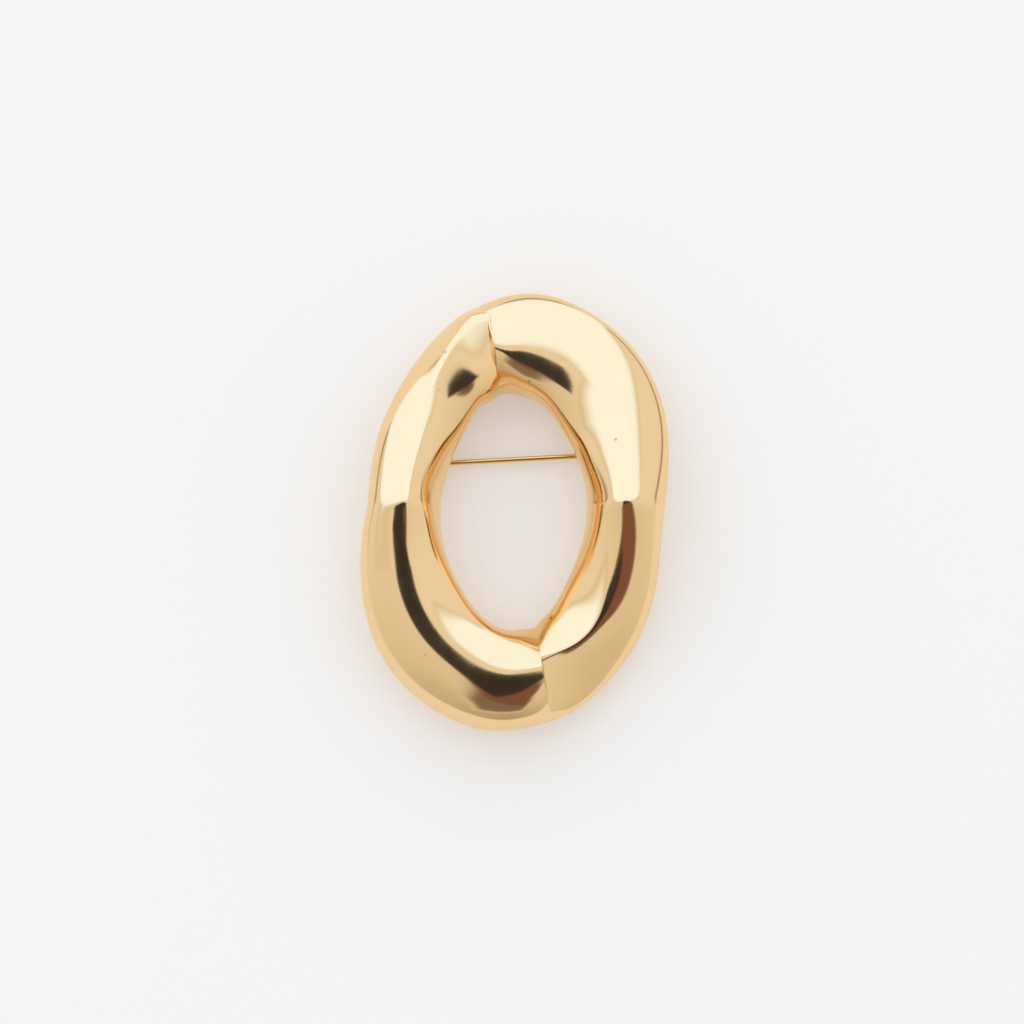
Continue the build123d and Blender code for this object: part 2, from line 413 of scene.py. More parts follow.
def grid_faces(count, width, closed_down, closed_across):
    """Four-sided faces of a grid of points, wrapped round where an edge is closed."""
    down = np.arange(count if closed_down else count - 1)[:, None]
    over = np.arange(width if closed_across else width - 1)[None, :]
    below = (down + 1) % count
    beside = (over + 1) % width
    corners = [
        down * width + over,
        below * width + over,
        below * width + beside,
        down * width + beside,
    ]
    return np.stack([np.broadcast_to(c, (len(down), over.shape[1])) for c in corners], axis=-1).reshape(-1, 4)


def closed_grid(points):
    """A grid closed both ways round, such as a ring: its points and faces."""
    count, width = points.shape[:2]
    return points.reshape(-1, 3), grid_faces(count, width, True, True), np.zeros((0, 3), int)


def capped_grid(points, first, last):
    """A tube of rings closed by one point at each end: its points, four-sided faces and end triangles."""
    count, width = points.shape[:2]
    spread = np.concatenate([points.reshape(-1, 3), [first, last]])
    over = np.arange(width)
    beside = (over + 1) % width
    start = np.stack([np.full(width, count * width), over, beside], axis=-1)
    end_row = (count - 1) * width
    end = np.stack([np.full(width, count * width + 1), end_row + beside, end_row + over], axis=-1)
    return spread, grid_faces(count, width, False, True), np.concatenate([start, end])


def outward(points, quads, triangles):
    """The same faces, turned so that the closed shell's volume comes out positive."""
    loose = np.concatenate([quads[:, [0, 1, 2]], quads[:, [0, 2, 3]], triangles])
    a, b, c = points[loose[:, 0]], points[loose[:, 1]], points[loose[:, 2]]
    volume = np.einsum("ij,ij->i", a, np.cross(b, c)).sum()
    if volume < 0:
        return quads[:, ::-1], triangles[:, ::-1]
    return quads, triangles


def disc_faces(count, width):
    """Faces of rings round a middle point that comes last: the grid between the rings, and a fan inside."""
    over = np.arange(width)
    fan = np.stack([np.full(width, count * width), over, (over + 1) % width], axis=-1)
    return grid_faces(count, width, False, True).tolist() + fan.tolist()


def clear_old(collection, name):
    """Removes what an earlier run left under the name."""
    old = collection.get(name)
    if old is not None:
        collection.remove(old)


def add_object(name, points, faces, material):
    """A mesh object with one material, in place of an older one of its name."""
    clear_old(bpy.data.objects, name)
    mesh = bpy.data.meshes.new(name)
    mesh.from_pydata(points.tolist(), [], faces)
    mesh.update()
    mesh.materials.append(material)
    made = bpy.data.objects.new(name, mesh)
    bpy.context.scene.collection.objects.link(made)
    return made


def new_piece(name, shells, material, body, node):
    """One object made of closed shells in the row frame, riding a body and standing for a node."""
    corners = []
    faces = []
    offset = 0
    for points, quads, triangles in shells:
        quads, triangles = outward(points, quads, triangles)
        corners.append(points)
        faces += (quads + offset).tolist()
        faces += (triangles + offset).tolist()
        offset += len(points)
    piece = add_object(name, np.concatenate(corners), faces, material)
    piece.data.polygons.foreach_set("use_smooth", np.ones(len(faces), dtype=bool))
    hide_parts(node)
    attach(piece, body)
    return piece


def vertex_values(piece, name, values):
    """A number for each vertex, which the materials read by name."""
    layer = piece.data.attributes.new(name, "FLOAT", "POINT")
    layer.data.foreach_set("value", np.ascontiguousarray(values, dtype=np.float32).ravel())


def on_pin_line(points):
    """From the pin's own frame to the link's: its X runs from the hinge to the catch, its origin lies on the
    table under the middle of its line."""
    across = np.array(HINGE["axis"])
    along = np.array([across[1], -across[0], 0.0])
    pins = bpy.context.scene.brooch_pin
    start = np.array(HINGE["pos_m"]) + along * pins.hinge_reach
    start[2] = 0.0
    up = np.array([0.0, 0.0, 1.0])
    return start + points[..., :1] * along + points[..., 1:2] * across + points[..., 2:] * up


def pin_level():
    """Height of the pin's axis over the table."""
    return HINGE["pos_m"][2]


def catch_mouth(pins):
    """From the pin's axis to the inner face of the catch."""
    return pins.wire / 2 + pins.catch_gap


def rounded_profile(angle, half_a, half_b, corner):
    """A rectangle with round corners: a small circle pushed out to the four corners."""
    c, s = np.cos(angle), np.sin(angle)
    return np.sign(c) * (half_a - corner) + corner * c, np.sign(s) * (half_b - corner) + corner * s


def quarter_steps(count):
    """Angles round a section that never fall exactly on a quarter."""
    return (np.arange(count) + 0.5) / count * 2 * np.pi


def ring_shell(bore, reach, half_width, corner, centre, steps):
    """A ring round the rivet's axis: a rounded rectangle from the bore to the reach, carried round the axis.
    The reach may change round the ring."""
    turn = np.arange(steps) / steps * 2 * np.pi
    section = quarter_steps(32)[None, :]
    reach = np.broadcast_to(reach(turn) if callable(reach) else reach, turn.shape)[:, None]
    half = (reach - bore) / 2
    out, side = rounded_profile(section, half, half_width, corner)
    radius = bore + half + out
    points = np.stack(
        [
            centre[0] + radius * np.cos(turn)[:, None],
            centre[1] + np.broadcast_to(side, radius.shape),
            centre[2] + radius * np.sin(turn)[:, None],
        ],
        axis=-1,
    )
    return closed_grid(on_pin_line(points))


def spun_shell(along, radius, centre, axis, steps):
    """A profile turned about an axis of the pin's frame, closed by a point at each end of the profile."""
    turn = (np.arange(steps) / steps * 2 * np.pi)[None, :]
    across = radius[1:-1, None] * np.cos(turn)
    upward = radius[1:-1, None] * np.sin(turn)
    run = np.broadcast_to(along[1:-1, None], across.shape)
    ends = [along[0], along[-1]]
    if axis == "x":
        points = np.stack([run, across, upward], axis=-1)
        tips = [np.array([e, 0.0, 0.0]) for e in ends]
    else:
        points = np.stack([across, run, upward], axis=-1)
        tips = [np.array([0.0, e, 0.0]) for e in ends]
    centre = np.array(centre)
    tips = [on_pin_line((tip + centre)[None, :])[0] for tip in tips]
    return capped_grid(on_pin_line(points + centre), tips[0], tips[1])


# Shader groups and materials


def feed(tree, node, feeds):
    """Gives a node's inputs, by name or number, a plain value or the socket that is linked to them."""
    for label, value in feeds.items():
        if isinstance(value, bpy.types.NodeSocket):
            tree.links.new(value, node.inputs[label])
        else:
            node.inputs[label].default_value = value


def add_node(tree, kind, spot, feeds=None, **settings):
    """A node at a place of the tree, with its settings and what feeds its inputs."""
    node = tree.nodes.new(kind)
    node.location = spot
    for name, value in settings.items():
        setattr(node, name, value)
    feed(tree, node, feeds or {})
    return node


def maths(tree, operation, first, second, spot):
    """The result of a Math node fed by sockets or plain numbers."""
    return add_node(tree, "ShaderNodeMath", spot, {0: first, 1: second}, operation=operation).outputs[0]


def noise(tree, spot, where, scale, detail, **more):
    """The value of a Noise Texture at the coordinates."""
    feeds = {"Vector": where, "Scale": scale, "Detail": detail, **more}
    return add_node(tree, "ShaderNodeTexNoise", spot, feeds).outputs["Fac"]


def mapped(tree, spot, value, low, high, **more):
    """A value spread from low and high to nothing and all, or to the two ends that are given."""
    feeds = {"Value": value, "From Min": low, "From Max": high}
    feeds.update({label.replace("_", " "): end for label, end in more.items()})
    return add_node(tree, "ShaderNodeMapRange", spot, feeds).outputs["Result"]


def blended(tree, spot, part, first, second):
    """A colour that goes from the first to the second with the given part."""
    feeds = {0: part, 6: first, 7: second}
    return add_node(tree, "ShaderNodeMix", spot, feeds, data_type="RGBA", clamp_factor=True).outputs[2]


def new_group(name, inputs, output, output_type="NodeSocketFloat"):
    """A shader node group that takes coordinates and the named numbers or colours and gives one output.
    Returns the group, the sockets that it reads and the socket for its result."""
    group = bpy.data.node_groups.new(name, "ShaderNodeTree")
    add_socket = group.interface.new_socket
    add_socket(name="Coordinates", in_out="INPUT", socket_type="NodeSocketVector")
    for label, value in inputs.items():
        kind = "NodeSocketColor" if isinstance(value, tuple) else "NodeSocketFloat"
        add_socket(name=label, in_out="INPUT", socket_type=kind).default_value = value
    add_socket(name=output, in_out="OUTPUT", socket_type=output_type)
    start = add_node(group, "NodeGroupInput", (-900, 0))
    end = add_node(group, "NodeGroupOutput", (700, 0))
    return group, start.outputs, end.inputs[output]


def polished_relief():
    """Group: the height of a hand-polished surface. Slow waves, a fine ripple and a cast skin that only
    shows where its mask does, each from its own noise."""
    heights = {"Wave height": 0.012, "Grain height": 0.0004, "Cast mask": 0.0, "Cast height": 0.02}
    scales = {"Wave scale": 140.0, "Grain scale": 3300.0}
    group, given, result = new_group("polished_relief", {**scales, **heights}, "Height")
    where = given["Coordinates"]
    waves = noise(group, (-600, 300), where, given["Wave scale"], 1.0)
    waves = maths(group, "MULTIPLY", waves, given["Wave height"], (-350, 300))
    grain = noise(group, (-600, 0), where, given["Grain scale"], 2.0)
    grain = maths(group, "MULTIPLY", grain, given["Grain height"], (-350, 0))
    cast = noise(group, (-600, -320), where, 1500.0, 3.0, Roughness=0.62, Distortion=0.8)
    cast = maths(group, "MULTIPLY", cast, given["Cast mask"], (-350, -320))
    cast = maths(group, "MULTIPLY", cast, given["Cast height"], (-150, -320))
    total = maths(group, "ADD", waves, grain, (100, 100))
    group.links.new(maths(group, "ADD", total, cast, (300, 0)), result)
    return group


def polish_haze():
    """Group: how dull the polish is from place to place. A slow cloud of haze, fine stretched rub marks and
    a rougher patch where the mask says so."""
    inputs = {"Bright": 0.07, "Hazy": 0.12, "Rub scale": 900.0, "Patch mask": 0.0, "Patch roughness": 0.3}
    group, given, result = new_group("polish_haze", inputs, "Roughness")
    where = given["Coordinates"]
    cloud = noise(group, (-650, 250), where, 220.0, 3.0)
    stretch = {"Vector": where, "Scale": (1.0, 0.18, 0.6), "Rotation": (0.0, 0.0, 0.5)}
    along_rubs = add_node(group, "ShaderNodeMapping", (-750, -50), stretch).outputs["Vector"]
    rubs = noise(group, (-550, -50), along_rubs, given["Rub scale"], 5.0, Roughness=0.7)
    both = maths(group, "ADD", cloud, rubs, (-300, 150))
    spread = mapped(group, (-100, 150), both, 0.75, 1.25, To_Min=given["Bright"], To_Max=given["Hazy"])
    patch = {"Factor": given["Patch mask"], "A": spread, "B": given["Patch roughness"]}
    group.links.new(add_node(group, "ShaderNodeMix", (250, 50), patch).outputs["Result"], result)
    return group


def plating_and_fold_shade():
    """Group: the colour of the plating, with painted shade in the folds. It goes from the open tone to the
    fold shade tone where the fold mask says so, a painted shade and reflection of the gold in itself, with a
    slow cloud of thicker and thinner plating and a few tiny dark pits."""
    tones = {"Open tone": (0.95, 0.70, 0.45, 1.0), "Fold shade tone": (0.90, 0.56, 0.24, 1.0)}
    inputs = {**tones, "Fold mask": 0.0, "Cloud": 0.10, "Pits": 0.5}
    group, given, result = new_group("plating_and_fold_shade", inputs, "Color", "NodeSocketColor")
    where = given["Coordinates"]
    cloud = noise(group, (-650, 250), where, 160.0, 2.0)
    cloud = maths(group, "MULTIPLY", cloud, given["Cloud"], (-400, 250))
    # painted shade: the fold mask pulls the colour towards the darker, warmer fold shade tone
    depth = maths(group, "ADD", cloud, given["Fold mask"], (-200, 250))
    tone = blended(group, (0, 200), depth, given["Open tone"], given["Fold shade tone"])
    cells = add_node(group, "ShaderNodeTexVoronoi", (-650, -200), {"Vector": where, "Scale": 150.0})
    dots = mapped(group, (-400, -200), cells.outputs["Distance"], 0.05, 0.02)
    dark = maths(group, "MULTIPLY", dots, given["Pits"], (-200, -200))
    group.links.new(blended(group, (300, 100), dark, tone, (0.30, 0.20, 0.11, 1.0)), result)
    return group


def place_group(tree, make, spot, feeds):
    """A copy of a shader group, which is built once and used in every metal. Returns its output."""
    group = bpy.data.node_groups.get(make.__name__) or make()
    return add_node(tree, "ShaderNodeGroup", spot, feeds, node_tree=group).outputs[0]


def bare_material(name):
    """A material with an empty node tree, in place of an older one of its name."""
    clear_old(bpy.data.materials, name)
    material = bpy.data.materials.new(name)
    material.use_nodes = True
    material.node_tree.nodes.clear()
    return material, material.node_tree


def metal(name, tone, roughness, haze, masks=False, wave=0.012, grain=0.0012, pits=0.0, rubs=900.0):
    """A gold-tone metal: the tone, haze and relief groups feed one Principled BSDF. With masks, the piece's
    own values say where its folds, which get a painted shade, and its back are."""
    finish = bpy.context.scene.brooch_finish
    material, tree = bare_material(name)
    where = add_node(tree, "ShaderNodeTexCoord", (-900, 0)).outputs["Object"]
    fold = back = 0.0
    if masks:
        fold = add_node(tree, "ShaderNodeAttribute", (-900, 250), attribute_name="fold").outputs["Fac"]
        back = add_node(tree, "ShaderNodeAttribute", (-900, -250), attribute_name="back").outputs["Fac"]
    # the deeper tone in the folds is painted shade and reflection of the gold in itself
    tones = {
        "Coordinates": where, "Open tone": (*tone, 1.0), "Fold shade tone": (*finish.deep_gold, 1.0),
        "Fold mask": fold, "Pits": pits,
    }
    hazes = {
        "Coordinates": where, "Bright": roughness, "Hazy": haze, "Rub scale": rubs,
        "Patch mask": back, "Patch roughness": finish.back_polish,
    }
    reliefs = {
        "Coordinates": where, "Wave scale": 1.0 / max(finish.wave_size, TINY), "Wave height": wave,
        "Grain scale": 1.0 / max(finish.grain_size, TINY), "Grain height": grain, "Cast mask": fold,
    }
    relief = place_group(tree, polished_relief, (-300, -300), reliefs)
    bump = add_node(tree, "ShaderNodeBump", (0, -300), {"Strength": 1.0, "Distance": MM, "Height": relief})
    feeds = {
        "Metallic": 1.0,
        "Base Color": place_group(tree, plating_and_fold_shade, (-300, 300), tones),
        "Roughness": place_group(tree, polish_haze, (-300, 0), hazes),
        "Normal": bump.outputs["Normal"],
    }
    shader = add_node(tree, "ShaderNodeBsdfPrincipled", (300, 0), feeds)
    add_node(tree, "ShaderNodeOutputMaterial", (600, 0), {"Surface": shader.outputs["BSDF"]})
    return material


# Operators


class BROOCH_OT_link(Operator):
    """Make the twisted link"""

    bl_idname = "brooch.link"
    bl_label = "Link"

    def execute(self, context):
        sizes = context.scene.brooch_link
        finish = context.scene.brooch_finish
        points, degrees, round_limb = link_surface(sizes)
        gold = metal("polished_gold", finish.gold, finish.polish, finish.polish + 0.04, masks=True, pits=0.5)
        piece = new_piece(
            "link_shell", [closed_grid(points)], gold, "link_body", "link_frame"
        )
        # painted shade: the fold mask darkens and warms the gold in the end folds on their inner side and, a
        # little, along the whole inner edge, where the gold mirrors itself; it also places the cast skin
        off_end = np.min([np.abs(degrees - fold) for fold in END_FOLDS], axis=0)[:, None]
        inward = np.clip(-np.cos(round_limb), 0.0, 1.0)[None, :]
        upward = np.sin(round_limb)[None, :]
        fold = np.exp(-((off_end / FOLD_SHADE_REACH) ** 2)) * inward**3 * np.clip(upward + 0.55, 0.0, 1.0)
        fold = np.clip(fold + 0.3 * np.exp(-(((round_limb - np.pi) / 0.06) ** 2)), 0.0, 1.0)
        back = np.clip(-upward * 1.6 - 0.35, 0.0, 1.0) * np.ones_like(off_end)
        vertex_values(piece, "fold", fold)
        vertex_values(piece, "back", back)
        return {"FINISHED"}


class BROOCH_OT_findings(Operator):
    """Make the hinge ears, the catch and their solder"""

    bl_idname = "brooch.findings"
    bl_label = "Ears, catch and solder"

    def execute(self, context):
        sizes = context.scene.brooch_link
        pins = context.scene.brooch_pin
        finish = context.scene.brooch_finish
        gold = metal("findings_gold", finish.gold, 0.14, 0.24, wave=0.004, rubs=2500.0)
        dull = metal("solder_gold", finish.solder_gold, 0.26, 0.42, grain=0.004)
        level = pin_level()
        hole = pins.rivet / 2 + RIVET_GAP
        middle = pins.eye_width / 2 + SIDE_GAP + pins.ear / 2
        hinge_root = self.limb_height(-pins.hinge_reach, 0.0, sizes) + EMBEDDED

        def ear_reach(turn):
            """From the rivet's axis to the ear's edge: round below, then straight sides up into the limb."""
            rise = np.maximum(np.sin(turn), 1e-3)
            side = level / np.maximum(np.abs(np.cos(turn)), 1e-3)
            return np.where(np.sin(turn) > 0, np.minimum(side, (hinge_root - level) / rise), level)

        ears = [
            ring_shell(hole, ear_reach, pins.ear / 2, 0.10 * MM, (-pins.hinge_reach, s * middle, level), 96)
            for s in (-1, 1)
        ]
        new_piece("hinge_ears", ears, gold, "link_body", "link_frame")
        new_piece(
            "catch_cradle", [self.cradle(pins, level), self.stalk(pins, level, sizes)],
            gold, "link_body", "link_frame",
        )
        mouth = catch_mouth(pins)
        skirts = [
            self.skirt(-pins.hinge_reach, s * middle, level, pins.ear / 2, pins.solder, sizes)
            for s in (-1, 1)
        ]
        skirts.append(self.skirt(pins.catch_reach, 0.0, pins.catch_length / 2, mouth, pins.solder, sizes))
        new_piece("solder_fillets", skirts, dull, "link_body", "link_frame")
        return {"FINISHED"}

    def limb_height(self, x, y, sizes):
        """Height of the link's underside over a point of the pin's frame."""
        spot = on_pin_line(np.array([[x, y, 0.0]]))
        return float(underside(spot[:, 0], spot[:, 1], sizes)[0])

    def cradle(self, pins, level):
        """A strip bent over the wire: a rounded rectangle carried up one leg, over the half-round roof and
        down the other leg, with both feet rounded and closed."""
        mouth = catch_mouth(pins)
        bend = mouth + pins.catch_wall / 2
        foot = 0.09 * MM
        leg = level - foot
        run = leg + np.pi * bend / 2
        rise = np.linspace(-run, run, 61)
        turn = np.clip(rise / bend, -np.pi / 2, np.pi / 2)
        below = np.clip(np.abs(rise) - np.pi * bend / 2, 0.0, None)
        ease = np.linspace(0.0, np.pi / 2, 5)[1:]
        inset = foot * (1 - np.cos(ease))
        drop = foot * np.sin(ease)
        inset = np.concatenate([inset[::-1], np.zeros(len(rise)), inset])
        drop = np.concatenate([drop[::-1], np.zeros(len(rise)), drop])
        turn = np.pad(turn, len(ease), mode="edge")
        below = np.pad(below, len(ease), mode="edge") + drop
        section = quarter_steps(28)[None, :]
        inset = inset[:, None]
        out, side = rounded_profile(
            section, pins.catch_wall / 2 - inset, pins.catch_length / 2 - inset, EDGE_ROUND - inset
        )
        radius = bend + out
        points = np.stack(
            [
                pins.catch_reach + side,
                radius * np.sin(turn)[:, None],
                level + radius * np.cos(turn)[:, None] - below[:, None],
            ],
            axis=-1,
        )
        ends = [points[k].mean(axis=0) for k in (0, -1)]
        spread = on_pin_line(points)
        tips = on_pin_line(np.array(ends))
        return capped_grid(spread, tips[0], tips[1])

    def stalk(self, pins, level, sizes):
        """The upright between the cradle's roof and the limb: a rounded rectangle carried straight up."""
        mouth = catch_mouth(pins)
        low = level + mouth + pins.catch_wall * 0.4
        high = self.limb_height(pins.catch_reach, 0.0, sizes) + EMBEDDED
        section = quarter_steps(36)[None, :]
        x, y = rounded_profile(section, pins.catch_length / 2, mouth, EDGE_ROUND)
        rise = np.linspace(low, high, 9)[:, None]
        waist = 1 - 0.06 * np.sin(np.pi * (rise - low) / (high - low))
        points = np.stack([pins.catch_reach + x * waist, y * waist, rise * np.ones_like(x)], axis=-1)
        tips = on_pin_line(np.array([[pins.catch_reach, 0.0, low], [pins.catch_reach, 0.0, high]]))
        return capped_grid(on_pin_line(points), tips[0], tips[1])

    def skirt(self, x, y, half_x, half_y, width, sizes):
        """Solder round the foot of an upright: a hollow quarter circle from the upright's side to the limb,
        carried round the upright, and closed inside the metal."""
        round_foot = quarter_steps(72)
        curve = np.linspace(0.0, np.pi / 2, 10)
        px, py = rounded_profile(round_foot, half_x, half_y, EDGE_ROUND)
        nx, ny = np.cos(round_foot), np.sin(round_foot)
        away = np.concatenate([width * (1 - np.cos(curve)) - 0.01 * MM, [width, -0.15 * MM, -0.15 * MM]])
        down = np.concatenate([width * (1 - np.sin(curve)), [-0.25 * MM, -0.25 * MM, width * 1.02]])
        gx = x + px[:, None] + nx[:, None] * away[None, :]
        gy = y + py[:, None] + ny[:, None] * away[None, :]
        flat = on_pin_line(np.stack([gx, gy, np.zeros_like(gx)], axis=-1))
        roof = underside(flat[..., 0].ravel(), flat[..., 1].ravel(), sizes).reshape(gx.shape)
        points = np.stack([flat[..., 0], flat[..., 1], roof + 0.02 * MM - down[None, :]], axis=-1)
        return closed_grid(points)


class BROOCH_OT_pin_stem(Operator):
    """Make the pin stem with its drilled eye"""

    bl_idname = "brooch.pin_stem"
    bl_label = "Pin stem"

    def execute(self, context):
        pins = context.scene.brooch_pin
        finish = context.scene.brooch_finish
        drawn = metal("drawn_wire_gold", finish.pin_gold, 0.10, 0.18, wave=0.002, rubs=2000.0)
        level = pin_level()
        bore = pins.rivet / 2 + RUNNING_GAP
        centre = (-pins.hinge_reach, 0.0, level)
        eye = ring_shell(bore, pins.eye / 2, pins.eye_width / 2, 0.14 * MM, centre, 80)
        tip = pins.catch_reach + pins.catch_length / 2 + pins.overhang
        blunt = pins.tip / 2
        round_end = np.linspace(0.0, np.pi / 2, 7)
        knots = np.array([0.62, 0.9, 1.2, 1.8, 8.0, 16.0, 24.8]) * MM - pins.hinge_reach
        full = pins.wire / 2
        neck = pins.neck / 2
        girth = np.array([neck, neck, neck * 0.62 + full * 0.38, full, full, full, full])
        taper = np.linspace(0.08, 1.0, 12)
        start = knots[-1]
        along = np.concatenate([[knots[0] - 0.05 * MM], knots, start + (tip - start) * taper])
        cone = full + (blunt - full) * (taper**1.1)
        radius = np.concatenate([[0.0], girth, cone])
        along = np.concatenate([along, tip + blunt * np.sin(round_end[1:])])
        radius = np.concatenate([radius, blunt * np.cos(round_end[1:])])
        wire = spun_shell(along, radius, (0.0, 0.0, level), "x", 40)
        new_piece("pin_wire", [eye, wire], drawn, "stem", "pin_stem")
        return {"FINISHED"}


class BROOCH_OT_rivet(Operator):
    """Make the hinge rivet with its two domed heads"""

    bl_idname = "brooch.rivet"
    bl_label = "Hinge rivet"

    def execute(self, context):
        pins = context.scene.brooch_pin
        finish = context.scene.brooch_finish
        gold = metal("rivet_gold", finish.pin_gold, 0.12, 0.20, wave=0.003, rubs=2500.0)
        half = pins.eye_width / 2 + SIDE_GAP + pins.ear + RIVET_GAP
        head = pins.rivet_head / 2
        rise = pins.head_height
        over = np.linspace(0.0, np.pi / 2, 9)
        dome_radius = head * np.sin(over)
        dome_rise = 0.55 * rise * np.cos(over) + 0.45 * rise
        rim = np.array([0.995, 0.97, 0.92]) * head
        rim_rise = np.array([0.25, 0.10, 0.0]) * rise
        radius = np.concatenate([dome_radius, rim, [pins.rivet / 2 * 1.02, pins.rivet / 2]])
        along = np.concatenate([half + dome_rise, half + rim_rise, [half, half - 0.05 * MM]])
        radius = np.concatenate([radius, radius[::-1]])
        along = np.concatenate([along, -along[::-1]])
        shell = spun_shell(along, radius, (-pins.hinge_reach, 0.0, pin_level()), "y", 48)
        new_piece("rivet_heads", [shell], gold, "link_body", "hinge_rivet")
        return {"FINISHED"}


class BROOCH_OT_stage(Operator):
    """Set the photo table, the soft light and the camera"""

    bl_idname = "brooch.stage"
    bl_label = "Photo table, light and camera"

    def execute(self, context):
        stage = context.scene.brooch_stage
        self.table(stage)
        self.room(context.scene, stage)
        self.cards(stage)
        self.camera(context.scene, stage)
        context.scene.view_settings.view_transform = "Standard"
        context.scene.view_settings.look = "None"
        return {"FINISHED"}

    def table(self, stage):
        """A wide round sheet of pale paper that lies under the brooch."""
        turn = np.arange(64) / 64 * 2 * np.pi
        rings = np.array([0.05, 0.2, 0.6, 1.4])[:, None]
        points = np.stack([rings * np.cos(turn), rings * np.sin(turn), np.zeros((4, 64))], axis=-1)
        corners = np.concatenate([points.reshape(-1, 3), [[0.0, 0.0, 0.0]]])
        material = bpy.data.materials.new("pale_paper")
        material.use_nodes = True
        tree = material.node_tree
        paper = (*stage.table, 1.0)
        mottled = (*[c * 0.99 for c in stage.table], 1.0)
        where = add_node(tree, "ShaderNodeTexCoord", (-900, 0)).outputs["Object"]
        tone = blended(tree, (-400, 0), noise(tree, (-700, 0), where, 14.0, 1.0), paper, mottled)
        feeds = {"Base Color": tone, "Roughness": 0.9, "Specular IOR Level": 0.0}
        feeds.update({"Emission Color": paper, "Emission Strength": stage.table_glow})
        feed(tree, tree.nodes["Principled BSDF"], feeds)
        table = add_object("photo_table", corners, disc_faces(4, 64), material)
        if table.data.polygons[0].normal.z < 0:
            table.data.flip_normals()

    def room(self, scene, stage):
        """An even pale room: a warm tone where the metal mirrors it, an even light on the table, and the
        table's own tone where the camera sees past it."""
        world = bpy.data.worlds.new("pale_room")
        scene.world = world
        world.use_nodes = True
        tree = world.node_tree
        tree.nodes.clear()
        path = add_node(tree, "ShaderNodeLightPath", (-300, 300)).outputs
        shown = self.background(tree, 0, self.room_tones(tree, stage))
        for step, tone, when in ((1, stage.even_light, "Is Diffuse Ray"), (2, stage.beyond, "Is Camera Ray")):
            feeds = {0: path[when], 1: shown, 2: self.background(tree, step, (*tone, 1.0))}
            shown = add_node(tree, "ShaderNodeMixShader", (100 + 200 * step, 0), feeds).outputs[0]
        add_node(tree, "ShaderNodeOutputWorld", (700, 0), {"Surface": shown})

    def background(self, tree, step, tone):
        """The light of one background tone."""
        spot = (-100 + 200 * step, -200 * step)
        return add_node(tree, "ShaderNodeBackground", spot, {"Color": tone}).outputs[0]

    def room_tones(self, tree, stage):
        """The room's tone by direction: deeper towards the bottom of the link, paler towards its top, with
        the dark edge of the table low down behind the top."""
        where = add_node(tree, "ShaderNodeTexCoord", (-1100, 0)).outputs["Generated"]
        parts = add_node(tree, "ShaderNodeSeparateXYZ", (-900, 0), {"Vector": where}).outputs
        spread = mapped(tree, (-700, 0), parts["Y"], -1.0, 1.0)
        ramp = add_node(tree, "ShaderNodeValToRGB", (-500, 0), {"Fac": spread})
        stops = ramp.color_ramp.elements
        stops[0].color = (*stage.room_low, 1.0)
        stops[1].position = 0.55
        stops[1].color = (*stage.room_high, 1.0)
        stops.new(0.22).color = (*stage.room, 1.0)
        low = mapped(tree, (-700, -250), parts["Z"], 0.12, 0.05)
        far = mapped(tree, (-700, -500), parts["Y"], -0.1, 0.4)
        dark = maths(tree, "MULTIPLY", low, far, (-450, -350))
        return blended(tree, (-200, 0), dark, ramp.outputs["Color"], (*stage.table_edge, 1.0))

    def cards(self, stage):
        """The soft box over the top of the link, and the dark shapes round the camera that the metal mirrors.
        Each is an outline in degrees from plumb, towards the right and towards the top of the link; a third
        number, or one for the whole outline, is the share of the sheet over which its rim is soft. The
        outlines follow the reflections in the photograph."""
        soft_box = [
            (-61, -12, 0.5), (-31, -11, 0.5), (-13, 0, 0.4), (-1, 12, 0.3), (18, 11, 0.3), (32, 14, 0.3),
            (43, 45, 0.1), (52, 81, 0.1), (-40, 84, 0.1), (-69, 62, 0.1), (-66, 25, 0.2),
        ]
        camera = [(-20, -11), (-10, -3), (3, 6), (11, 4), (24, -2), (10, -15), (-8, -29)]
        brown = [(-15, -12), (10, -12), (20, -8), (23, -21), (19, -47), (-16, -37)]
        shade = [(-17, -21), (12, -18), (29, -33), (20, -61), (-34, -67), (-34, -47)]
        grey = (0.23, 0.18, 0.16)
        self.card("soft_box", soft_box, 1.30, stage.soft_box, stage.room)
        self.card("table_light", soft_box, 1.35, stage.table_light, stage.table_light, for_table=True)
        self.card("grey_wall", [(*c, 0.3) for c in shade], 1.1, grey, stage.room)
        self.card("brown_shelf", [(*c, 0.15) for c in brown], 1.05, (0.20, 0.10, 0.08), grey)
        self.card("dark_camera", [(*c, 0.06) for c in camera], 1.0, (0.034, 0.033, 0.034), (0.12, 0.07, 0.05))

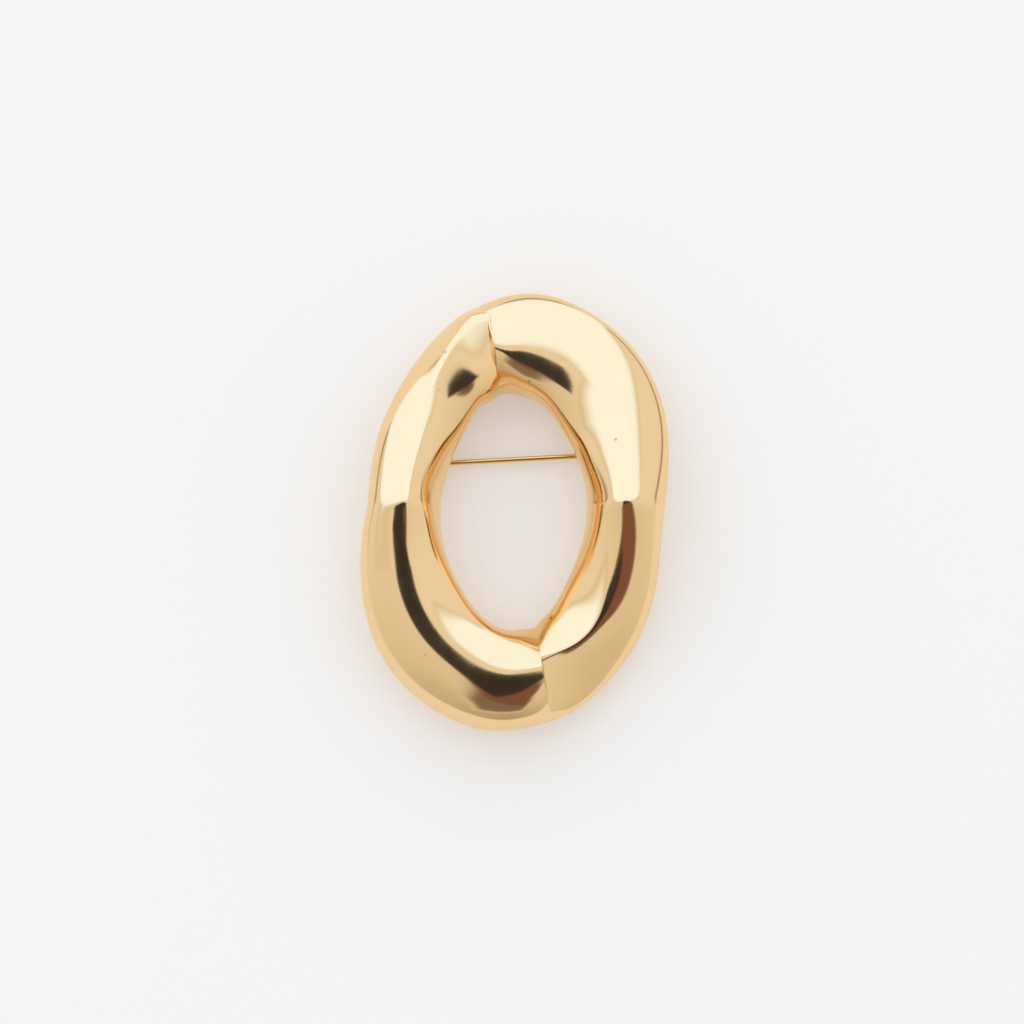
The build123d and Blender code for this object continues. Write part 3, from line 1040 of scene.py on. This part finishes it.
    def card(self, name, outline, distance, tone, rim_tone, for_table=False):
        """A sheet bent round the middle of the link: the outline's points are spread over it as a fan of
        rings, and each ring point is a direction times the distance. The tone goes over to the rim tone
        over the last share of the rings, which each outline point names third. A card is seen either by the
        metal or by the table."""
        corners = np.array(outline, dtype=float)
        steps = np.linspace(0.0, 1.0, 13)[:-1]
        following = np.roll(corners, -1, axis=0)
        edge = (corners[:, None, :] + (following - corners)[:, None, :] * steps[None, :, None]).reshape(-1, 3)
        centre = corners[:, :2].mean(axis=0)
        rings = np.linspace(0.0, 1.0, CARD_RINGS + 1)[1:, None, None]
        chart = (centre + (edge[:, :2] - centre)[None, :, :] * rings).reshape(-1, 2)
        chart = np.concatenate([chart, centre[None, :]])
        fade = np.clip((1 - rings[:, :, 0]) / np.maximum(edge[None, :, 2], 1e-3), 0.0, 1.0)
        off_plumb = np.hypot(chart[:, 0], chart[:, 1])
        lean = np.radians(off_plumb)
        share_of = np.sin(lean) / np.maximum(off_plumb, 1e-9)
        points = distance * np.stack([chart[:, 0] * share_of, chart[:, 1] * share_of, np.cos(lean)], axis=-1)
        material, tree = bare_material(name)
        inside = add_node(tree, "ShaderNodeAttribute", (-400, 0), attribute_name="full").outputs["Fac"]
        curve = {"interpolation_type": "SMOOTHSTEP"}
        soft = add_node(tree, "ShaderNodeMapRange", (-200, 0), {"Value": inside}, **curve)
        mixed = blended(tree, (0, 0), soft.outputs["Result"], (*rim_tone, 1.0), (*tone, 1.0))
        glow = add_node(tree, "ShaderNodeEmission", (200, 0), {"Color": mixed}).outputs[0]
        add_node(tree, "ShaderNodeOutputMaterial", (400, 0), {"Surface": glow})
        card = add_object(name, points, disc_faces(CARD_RINGS, len(edge)), material)
        vertex_values(card, "full", np.append(fade.ravel(), 1.0))
        card.visible_camera = False
        card.visible_shadow = False
        card.visible_glossy = not for_table
        card.visible_diffuse = for_table

    def camera(self, scene, stage):
        """A long lens over the link, leaning a little towards its bottom."""
        data = bpy.data.cameras.new("table_camera")
        data.lens = stage.lens
        data.sensor_width = 36.0
        data.clip_start = 0.01
        data.clip_end = 20.0
        camera = bpy.data.objects.new("table_camera", data)
        scene.collection.objects.link(camera)
        lean = stage.camera_tilt
        reach = stage.camera_distance
        camera.location = (
            stage.aim_side,
            stage.aim_up - math.sin(lean) * reach,
            stage.aim_level + math.cos(lean) * reach,
        )
        camera.rotation_euler = (lean, 0.0, 0.0)
        scene.camera = camera


class BROOCH_PT_maker(Panel):
    """Lists the brooch's pieces and sizes"""

    bl_idname = "BROOCH_PT_maker"
    bl_label = "Link brooch"
    bl_space_type = "VIEW_3D"
    bl_region_type = "UI"
    bl_category = "Brooch"

    def draw(self, context):
        layout = self.layout
        for kind in OPERATORS:
            layout.operator(kind.bl_idname)
        for group, label in (
            ("brooch_link", "Link"),
            ("brooch_pin", "Pin, hinge and catch"),
            ("brooch_finish", "Finish"),
            ("brooch_stage", "Table and camera"),
        ):
            box = layout.box()
            box.label(text=label)
            values = getattr(context.scene, group)
            for name in values.bl_rna.properties.keys():
                if name not in ("rna_type", "name"):
                    box.prop(values, name)


GROUPS = {
    "brooch_link": BroochLinkSizes,
    "brooch_pin": BroochPinSizes,
    "brooch_finish": BroochFinish,
    "brooch_stage": BroochStage,
}
OPERATORS = (BROOCH_OT_link, BROOCH_OT_findings, BROOCH_OT_pin_stem, BROOCH_OT_rivet, BROOCH_OT_stage)


def register():
    for kind in (*GROUPS.values(), *OPERATORS, BROOCH_PT_maker):
        bpy.utils.register_class(kind)
    for name, kind in GROUPS.items():
        setattr(bpy.types.Scene, name, PointerProperty(type=kind))


def unregister():
    for name in GROUPS:
        delattr(bpy.types.Scene, name)
    for kind in reversed((*GROUPS.values(), *OPERATORS, BROOCH_PT_maker)):
        bpy.utils.unregister_class(kind)


def main():
    """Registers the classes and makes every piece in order."""
    register()
    bpy.ops.brooch.link()
    bpy.ops.brooch.findings()
    bpy.ops.brooch.pin_stem()
    bpy.ops.brooch.rivet()
    bpy.ops.brooch.stage()


if __name__ == "__main__":
    main()
